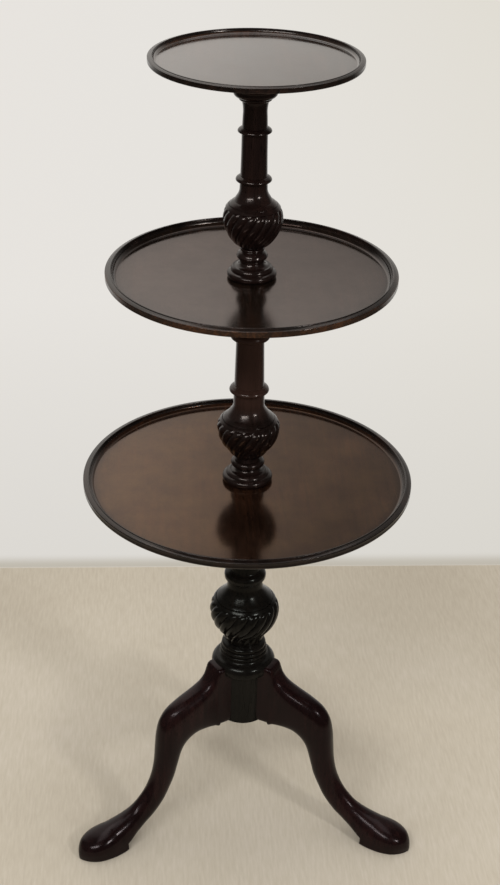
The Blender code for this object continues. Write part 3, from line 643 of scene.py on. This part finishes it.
def worn_board(name, dark, mid, light, grain_turn, polish, hazy, reach, wax=0.0):
    """A tray's board: worn polish lies on it in patches, and towards the rim its reflection is darkened as
    painted shade of the raised rim.

    The colours are the light that it throws back where the polish is thick and where it is hazy.
    The reach is that of the dished floor, in millimetres.
    """
    material = polished_mahogany(name, dark, mid, light, grain_turn, gloss=0.14, shine=1.0,
                                 warmth=polish, wax=wax)
    tree = material.node_tree
    surface = tree.nodes["Principled BSDF"]
    place = add(tree, "ShaderNodeTexCoord").outputs["Object"]
    # Patches of 10 to 50 mm, and fine mottling of 3 mm
    patches = add(tree, "ShaderNodeTexNoise", {"Vector": place, "Scale": 28, "Detail": 3, "Roughness": 0.7})
    fine = add(tree, "ShaderNodeTexNoise", {"Vector": place, "Scale": 260, "Detail": 2, "Roughness": 0.6})
    mottled = add(tree, "ShaderNodeMath", {0: fine.outputs["Fac"], 1: 0.35, 2: patches.outputs["Fac"]},
                  operation="MULTIPLY_ADD")
    spread = add(tree, "ShaderNodeMapRange", {"Value": mottled.outputs[0], "From Min": 0.50,
                                              "From Max": 0.85})
    film = add(tree, "ShaderNodeValToRGB", {"Fac": spread.outputs[0]}, label="polish",
               stops=((0, hazy), (1, polish)))
    centred = add(tree, "ShaderNodeVectorMath", {0: place, 1: tuple(axis)}, operation="SUBTRACT")
    flat = add(tree, "ShaderNodeVectorMath", {0: centred.outputs[0], 1: (1, 1, 0)}, operation="MULTIPLY")
    out = add(tree, "ShaderNodeVectorMath", {0: flat.outputs[0]}, operation="LENGTH")
    # Painted shade of the raised rim: the reflection dims from 35 mm inside the floor's edge to under the
    # rim
    rimward = add(tree, "ShaderNodeMapRange", {"Value": out.outputs["Value"],
                                               "From Min": (reach - 35) * millimetre,
                                               "From Max": (reach + 2) * millimetre})
    painted_rim_shade = add(tree, "ShaderNodeValToRGB", {"Fac": rimward.outputs[0]}, label="painted_rim_shade",
                  stops=((0, "#ffffff"), (0.70, "#e0e0e0"), (0.90, "#b4b1b0"), (1, "#5a5452")))
    worn = add(tree, "ShaderNodeMix", {"Factor": 1.0, 6: film.outputs[0], 7: painted_rim_shade.outputs[0]},
               data_type="RGBA", blend_type="MULTIPLY")
    tree.links.new(worn.outputs[2], surface.inputs["Specular Tint"])
    return material


grain_across = (math.radians(90), 0, 0)
# Tray mahogany: a slab-sawn board, browner than the pillar, its polish worn in patches and its reflection
# darkened towards the rim as painted shade
lower_board = worn_board("lower_tray_mahogany", "#130b07", "#1e120c", "#2e1b11",
                         (math.radians(90), 0, math.radians(4)), polish="#ffbb78", hazy="#dc9a66",
                         reach=lower_tray_radius - lower_tray_rim)
# The rim keeps more of the old dark polish than the floor of the dish
rim_mahogany = polished_mahogany("rim_mahogany_dark_polish", "#090706", "#130d0b", "#241813",
                                 grain_across, gloss=0.20, shine=0.35, warmth="#fff2ea")
# Under the trays the wood is stained and dull
bearer_wood = polished_mahogany("stained_bearer_wood", "#120b08", "#23150f", "#33211a",
                                grain_across, gloss=0.45, shine=0.4, warmth="#ffd9c0")
# Cast brass gone brown, with a yellow glint where it was filed
old_brass = old_metal("aged_brass", "#4a3a22", "#8f7442", roughness=0.35)
tray("lower_tray", radius=lower_tray_radius, floor=547.5, depth=7.0, rim=lower_tray_rim, edge=8.4,
     bore=spindle_bore, finishes=(lower_board, rim_mahogany), body="lower_turning_tray")
bearer("lower_tray_collar", radius=50.0, depth=16.0, head=540.4, bore=spindle_bore, ceiling=0,
       finish=bearer_wood, body="lower_turning_tray")

# Middle pillar: a turned section whose spindle passes through the tray into the bore below it,
# with its own foot, a smaller lobed urn, a shaft and a cap.
middle_outline = (
    ("end", 0.0, 479.3, 0),
    ("dowel", 11.0, 479.3, 0),
    ("dowel", 11.0, 524.3, 0),
    ("spindle", 16.0, 524.3, 0),
    ("spindle", 16.0, 547.9, 0),
    ("foot", 31.0, 547.9, 0),
    ("foot", 31.0, 556.8, 0.28),
    ("fillet", 28.5, 557.9, 0),
    ("ogee", 23.5, 563.1, 0.15),
    ("cove", 16.0, 567.4, -0.20),
    ("fillet", 16.0, 569.0, 0),
    ("bead", 16.0, 579.0, 0.65),
    ("neck", 15.0, 583.6, 0),
    ("bowl", 28.0, 596.9, 0.10),
    ("bowl", 41.0, 623.9, 0.10),
    ("bowl", 38.2, 637.3, 0.13),
    ("band", 35.3, 640.2, 0.02),
    ("quirk", 34.2, 640.0, 0),
    ("quirk", 34.0, 641.3, 0),
    ("shoulder", 28.4, 646.4, 0.02),
    ("shoulder", 24.8, 651.6, 0),
    ("cove", 20.4, 662.0, -0.08),
    ("neck", 20.2, 680.6, 0),
    ("bead", 24.8, 680.9, 0),
    ("bead", 26.0, 682.9, 0.20),
    ("bead", 23.0, 686.6, 0.12),
    ("bead", 19.6, 689.0, 0.05),
    ("shaft", 18.1, 756.6, 0),
    ("bead", 23.6, 756.9, 0),
    ("bead", 25.6, 759.6, 0.20),
    ("bead", 18.1, 765.4, 0.25),
    ("neck", 17.7, 777.1, 0),
    ("flare", 19.0, 795.0, -0.05),
    ("ring", 22.5, 799.0, 0.30),
    ("ring", 29.5, 807.4, 0.25),
    ("cove", 38.0, 813.6, -0.20),
    ("cap", 43.0, 815.5, 0),
    ("cap", 43.0, 818.5, 0),
    ("end", 0.0, 818.5, 0),
)
shaft_start = 645 * millimetre
shaft_browned = 668 * millimetre
# The same wood where cloths have kept it brown
worn_mahogany = polished_mahogany("turned_mahogany_brown", "#0d0807", "#130c0a", "#1d1311",
                                  grain_up, gloss=0.18, shine=0.28, warmth="#fff0e8")
# Hands have rubbed the polish on its shaft browner still
tree = worn_mahogany.node_tree
surface = tree.nodes["Principled BSDF"]
place = add(tree, "ShaderNodeTexCoord").outputs["Object"]
height = add(tree, "ShaderNodeSeparateXYZ", {"Vector": place}).outputs["Z"]
rubbed = add(tree, "ShaderNodeMapRange", {"Value": height, "From Min": shaft_start,
                                          "From Max": shaft_browned})
wood = surface.inputs["Base Color"].links[0].from_socket
browner = add(tree, "ShaderNodeMix", {"Factor": rubbed.outputs[0], 6: wood, 7: colour("#231611")},
              data_type="RGBA", blend_type="ADD")
tree.links.new(browner.outputs[2], surface.inputs["Base Color"])
pillar("turned_middle_pillar", middle_outline, "middle_pillar", worn_mahogany)

# Middle tray: one mahogany board of the same make, smaller, with a greyer bloom on its polish and a
# browner edge. Its collar turns on the cap of the middle pillar.
middle_tray_radius = 184.0
middle_tray_rim = 12.4
# Slab-sawn mahogany like the lowest board, its grain turned the other way
middle_board = worn_board("middle_tray_mahogany", "#0f0907", "#16100c", "#221610",
                          (math.radians(90), 0, math.radians(-20)), polish="#ffd4c2", hazy="#e2b8a6",
                          reach=middle_tray_radius - middle_tray_rim, wax=0.05)
# The outer face of the rim has lost its dark polish
brown_rim = polished_mahogany("rim_mahogany_brown", "#150c08", "#26170f", "#442917",
                              grain_across, gloss=0.20, shine=0.35, warmth="#fff2ea")
tray("middle_tray", radius=middle_tray_radius, floor=842.0, depth=8.5, rim=middle_tray_rim, edge=7.9,
     bore=spindle_bore, finishes=(middle_board, rim_mahogany, brown_rim), body="middle_turning_tray")
bearer("middle_tray_collar", radius=46.0, depth=16.0, head=834.9, bore=spindle_bore, ceiling=0,
       finish=bearer_wood, body="middle_turning_tray")

# Upper pillar: the slimmest turned section of mahogany, set in the middle one by its spindle and
# dowel. It ends in the spigot on which the top tray turns.
upper_outline = (
    ("end", 0.0, 773.8, 0),
    ("dowel", 11.0, 773.8, 0),
    ("dowel", 11.0, 818.8, 0),
    ("spindle", 16.0, 818.8, 0),
    ("spindle", 16.0, 842.4, 0),
    ("foot", 29.0, 842.4, 0),
    ("foot", 29.0, 850.3, 0.28),
    ("fillet", 26.6, 851.2, 0),
    ("ogee", 23.6, 857.2, 0.15),
    ("cove", 15.0, 862.0, -0.18),
    ("fillet", 15.0, 866.4, 0.15),
    ("ring", 19.0, 869.2, 0.25),
    ("ring", 19.4, 871.2, 0.25),
    ("ring", 14.8, 876.6, 0.10),
    ("fillet", 13.9, 877.4, -0.10),
    ("fillet", 13.9, 881.4, 0.35),
    ("neck", 13.1, 882.0, 0),
    ("bowl", 25.5, 890.6, 0.06),
    ("bowl", 37.0, 914.1, 0.06),
    ("bowl", 34.2, 934.0, 0.08),
    ("band", 30.8, 937.8, 0.02),
    ("quirk", 29.8, 937.6, 0),
    ("quirk", 29.5, 938.9, 0),
    ("shoulder", 23.8, 943.2, 0.03),
    ("shoulder", 20.9, 948.2, 0),
    ("cove", 17.3, 957.6, -0.07),
    ("neck", 17.0, 968.0, 0),
    ("bead", 21.2, 968.3, 0),
    ("bead", 22.3, 970.2, 0.20),
    ("bead", 19.8, 973.0, 0.12),
    ("bead", 16.7, 974.4, 0.05),
    ("shaft", 15.9, 1029.4, -0.004),
    ("bead", 20.0, 1029.7, 0),
    ("bead", 20.9, 1031.0, 0.20),
    ("bead", 18.6, 1033.8, 0.12),
    ("bead", 15.5, 1035.4, 0.05),
    ("neck", 15.0, 1050.0, 0),
    ("flare", 16.8, 1068.6, -0.05),
    ("ring", 20.5, 1072.6, 0.30),
    ("ring", 27.0, 1080.4, 0.25),
    ("cove", 35.0, 1087.0, -0.20),
    ("cap", 39.0, 1089.0, 0),
    ("cap", 39.0, 1094.0, 0),
    ("spigot", 9.0, 1094.0, 0),
    ("spigot", 9.0, 1104.0, 0),
    ("end", 0.0, 1104.0, 0),
)
# Turned mahogany under its old gloss, which throws back more of the window
glossy_mahogany = polished_mahogany("turned_mahogany_glossy", "#110a09", "#170e0c", "#221512",
                                    grain_up, gloss=0.18, shine=0.27, warmth="#fff0e8")
pillar("turned_upper_pillar", upper_outline, "upper_pillar", glossy_mahogany)

# Top tray: the smallest mahogany board, turned without a bore. It is screwed to a turned block,
# whose blind bore takes the spigot.
top_tray_radius = 128.4
top_tray_rim = 9.7
# Mahogany that is waxed more than the others, so that it mirrors the room
top_board = worn_board("top_tray_mahogany", "#170f0b", "#23170f", "#332219",
                       (math.radians(90), 0, math.radians(35)), polish="#fff0e9", hazy="#f2d8cc",
                       reach=top_tray_radius - top_tray_rim, wax=0.6)
tray("top_tray", radius=top_tray_radius, floor=1115.5, depth=4.8, rim=top_tray_rim, edge=6.3, bore=0,
     finishes=(top_board, rim_mahogany), body="top_turning_tray")
bearer("top_tray_block", radius=40.0, depth=14.0, head=1108.4, bore=9.4, ceiling=10,
       finish=bearer_wood, body="top_turning_tray")
bpy.data.objects.remove(one_screw)

# Floor: a pale cloth on the studio floor with its far edge not far behind the table, and beyond
# it the white that the camera sees as a wall.
floor_half = 6.0
cloth_edge = 0.583
cloth_turn = math.radians(-0.9)
edge_blur = 0.002
wall_white = "#e7e4df"


def floor_material():
    """Matt cloth, beige up to its edge and white past it, with a faint weave."""
    material, tree, surface, place = new_material("pale_floor")
    turned_place = add(tree, "ShaderNodeMapping", {"Vector": place, "Rotation": (0, 0, -cloth_turn)})
    parts = add(tree, "ShaderNodeSeparateXYZ", {0: turned_place.outputs[0]})
    past = add(tree, "ShaderNodeMapRange", {"Value": parts.outputs["Y"],
                                            "From Min": cloth_edge - edge_blur,
                                            "From Max": cloth_edge + edge_blur})
    # Tone that changes over some 300 mm, and ribs of the weave about 4 mm apart, broken along their
    # length and drawn coarser than threads so that they show
    patches = add(tree, "ShaderNodeTexNoise", {"Vector": place, "Scale": 3, "Detail": 4})
    ribs = add(tree, "ShaderNodeMapping", {"Vector": place, "Scale": (260, 30, 1)})
    weave = add(tree, "ShaderNodeTexNoise", {"Vector": ribs.outputs[0], "Scale": 1, "Detail": 2,
                                             "Roughness": 0.6})
    blend = add(tree, "ShaderNodeMath", {0: weave.outputs["Fac"], 1: patches.outputs["Fac"]},
                operation="ADD")
    tint = add(tree, "ShaderNodeMapRange", {"Value": blend.outputs[0], "From Min": 0.7, "From Max": 1.3})
    cloth = add(tree, "ShaderNodeValToRGB", {"Fac": tint.outputs[0]}, label="cloth",
                stops=((0, "#b6ac9c"), (0.5, "#bdb4a4"), (1, "#c4bbad")))
    both = add(tree, "ShaderNodeMix", {"Factor": past.outputs[0], 6: cloth.outputs[0],
                                       7: colour(wall_white)}, data_type="RGBA")
    tree.links.new(both.outputs[2], surface.inputs["Base Color"])
    surface.inputs["Roughness"].default_value = 0.9
    surface.inputs["Specular IOR Level"].default_value = 0.1
    # What the camera sees beyond the cloth is the white of the room, nearly even, with painted shade that
    # makes it a little darker and warmer to the right
    aside = add(tree, "ShaderNodeMapRange", {"Value": parts.outputs["X"], "From Min": -1.2,
                                             "From Max": 1.2})
    white = add(tree, "ShaderNodeValToRGB", {"Fac": aside.outputs[0]}, label="white",
                stops=((0, "#e8e4df"), (0.5, "#e6e3de"), (1, "#e1ddd4")))
    # The wall's shade deepens a little towards its foot
    up = add(tree, "ShaderNodeMapRange", {"Value": parts.outputs["Y"], "From Min": cloth_edge,
                                          "From Max": cloth_edge + 1.2})
    shade = add(tree, "ShaderNodeValToRGB", {"Fac": up.outputs[0]}, label="shade",
                stops=((0, "#f3f3f2"), (1, "#ffffff")))
    shaded = add(tree, "ShaderNodeMix", {"Factor": 1.0, 6: white.outputs[0], 7: shade.outputs[0]},
                 data_type="RGBA", blend_type="MULTIPLY")
    # The white darkens in a band 50 mm deep where the wall meets the cloth
    near = add(tree, "ShaderNodeMapRange", {"Value": parts.outputs["Y"], "From Min": cloth_edge,
                                            "From Max": cloth_edge + 0.05},
               interpolation_type="SMOOTHERSTEP")
    darker_wall_foot = add(tree, "ShaderNodeMix", {"Factor": near.outputs[0], 6: colour("#bfb9ad"),
                                        7: shaded.outputs[2]}, data_type="RGBA")
    glow = add(tree, "ShaderNodeEmission", {"Color": darker_wall_foot.outputs[2]})
    ray = add(tree, "ShaderNodeLightPath")
    seen = add(tree, "ShaderNodeMath", {0: ray.outputs["Is Camera Ray"], 1: past.outputs[0]},
               operation="MULTIPLY")
    shown = add(tree, "ShaderNodeMixShader", {0: seen.outputs[0], 1: surface.outputs[0],
                                              2: glow.outputs[0]})
    # For glossy rays the floor past 0.6 m glows with a painted reflection of the room: dim, but white
    # behind the table
    level = add(tree, "ShaderNodeVectorMath", {0: place, 1: (1, 1, 0)}, operation="MULTIPLY")
    away = add(tree, "ShaderNodeVectorMath", {0: level.outputs[0]}, operation="LENGTH")
    heading = add(tree, "ShaderNodeVectorMath", {0: level.outputs[0]}, operation="NORMALIZE")
    back = add(tree, "ShaderNodeSeparateXYZ", {0: heading.outputs[0]})
    behind = add(tree, "ShaderNodeMapRange", {"Value": back.outputs["Y"], "From Min": 0.45,
                                              "From Max": 0.85})
    far = add(tree, "ShaderNodeMapRange", {"Value": away.outputs["Value"], "From Min": 0.6,
                                           "From Max": 1.4})
    painted_room_reflection = add(tree, "ShaderNodeMix", {"Factor": behind.outputs[0], 6: colour("#4a4641"),
                                      7: colour(wall_white)}, data_type="RGBA")
    room = add(tree, "ShaderNodeEmission", {"Color": painted_room_reflection.outputs[2]})
    mirrored = add(tree, "ShaderNodeMath", {0: ray.outputs["Is Glossy Ray"], 1: far.outputs[0]},
                   operation="MULTIPLY")
    polish = add(tree, "ShaderNodeMixShader", {0: mirrored.outputs[0], 1: shown.outputs[0],
                                               2: room.outputs[0]})
    tree.links.new(polish.outputs[0], tree.nodes["Material Output"].inputs["Surface"])
    return material


floor_mesh = bpy.data.meshes.new("floor")
floor_mesh.from_pydata([(-floor_half, -floor_half, 0), (floor_half, -floor_half, 0),
                        (floor_half, floor_half, 0), (-floor_half, floor_half, 0)], [], [(0, 1, 2, 3)])
floor_mesh.materials.append(floor_material())
new_object("floor", floor_mesh)

# Light: a wide window to the left and a small lamp to the right, both in front and above, a soft
# ceiling, and the pale room all round. The room is dim behind the camera, as the table's dark
# sides show.
lamps_aim = Vector((0, 0, 0.6))
# Name, place, size and power
lamps = (
    ("window", (-1.20, -2.20, 2.80), (1.90, 0.34), 44),
    ("lamp", (1.45, -1.80, 1.85), (0.30, 0.30), 18),
    ("ceiling", (0.0, 0.4, 3.2), (2.6, 2.4), 28),
)
for name, place, size, power in lamps:
    light = bpy.data.lights.new(name, "AREA")
    light.shape = "RECTANGLE"
    light.size, light.size_y = size
    light.energy = power
    lamp = bpy.data.objects.new(name, light)
    lamp.location = place
    lamp.rotation_euler = (lamps_aim - Vector(place)).to_track_quat("-Z", "Y").to_euler()
    bpy.context.scene.collection.objects.link(lamp)
world = bpy.data.worlds.new("pale_room")
world.use_nodes = True
bpy.context.scene.world = world
tree = world.node_tree
tree.nodes.clear()
towards = add(tree, "ShaderNodeTexCoord").outputs["Generated"]
level = add(tree, "ShaderNodeVectorMath", {0: towards, 1: (1, 1, 0)}, operation="MULTIPLY")
heading = add(tree, "ShaderNodeVectorMath", {0: level.outputs[0]}, operation="NORMALIZE")
flat = add(tree, "ShaderNodeSeparateXYZ", {0: heading.outputs[0]})
climb = add(tree, "ShaderNodeSeparateXYZ", {0: towards})
behind = add(tree, "ShaderNodeMapRange", {"Value": flat.outputs["Y"], "From Min": 0.45, "From Max": 0.85,
                                          "To Min": 0.12, "To Max": 1.0}, interpolation_type="SMOOTHSTEP")
# Higher up, the room behind the table grows dimmer on the right and brighter on the left
drop = add(tree, "ShaderNodeMapRange", {"Value": climb.outputs["Z"], "From Min": 0.22, "From Max": 0.50,
                                        "To Min": 1.0, "To Max": 0.54})
rise = add(tree, "ShaderNodeMapRange", {"Value": climb.outputs["Z"], "From Min": 0.22, "From Max": 0.50,
                                        "To Min": 1.2, "To Max": 1.75})
sideways = add(tree, "ShaderNodeMapRange", {"Value": flat.outputs["X"], "From Min": -0.05, "From Max": 0.13,
                                            "To Min": rise.outputs[0], "To Max": drop.outputs[0]},
               interpolation_type="SMOOTHSTEP")
wide = add(tree, "ShaderNodeMath", {0: behind.outputs[0], 1: sideways.outputs[0]}, operation="MULTIPLY")
ray = add(tree, "ShaderNodeLightPath")
seen = add(tree, "ShaderNodeMix", {"Factor": ray.outputs["Is Camera Ray"], 2: wide.outputs[0], 3: 1.0})
diffuse = add(tree, "ShaderNodeMix", {"Factor": ray.outputs["Is Diffuse Ray"], 2: seen.outputs[0], 3: 0.78})
wall = add(tree, "ShaderNodeBackground", {"Color": colour("#e7e3dd"), "Strength": diffuse.outputs[0]})
add(tree, "ShaderNodeOutputWorld", {"Surface": wall.outputs[0]})

# Camera: half a metre above the top tray, under two metres away and slightly to the left of the
# front, looking down and rolled a little.
camera_round = math.radians(3.75)
camera_distance = 1.857
camera_height = 1.638
look_down = math.radians(29.15)
look_aside = math.radians(0.08)
camera_roll = math.radians(1.30)
camera = bpy.data.cameras.new("camera")
camera.lens = 65.07
camera.sensor_width = 36
camera_object = bpy.data.objects.new("camera", camera)
bpy.context.scene.collection.objects.link(camera_object)
camera_object.matrix_world = (
    Matrix.Translation(axis + Vector((-camera_distance * math.sin(camera_round),
                                      -camera_distance * math.cos(camera_round), camera_height)))
    @ Matrix.Rotation(-camera_round - look_aside, 4, "Z")
    @ Matrix.Rotation(math.pi / 2 - look_down, 4, "X")
    @ Matrix.Rotation(camera_roll, 4, "Z"))
bpy.context.scene.camera = camera_object
bpy.context.scene.view_settings.view_transform = "Standard"
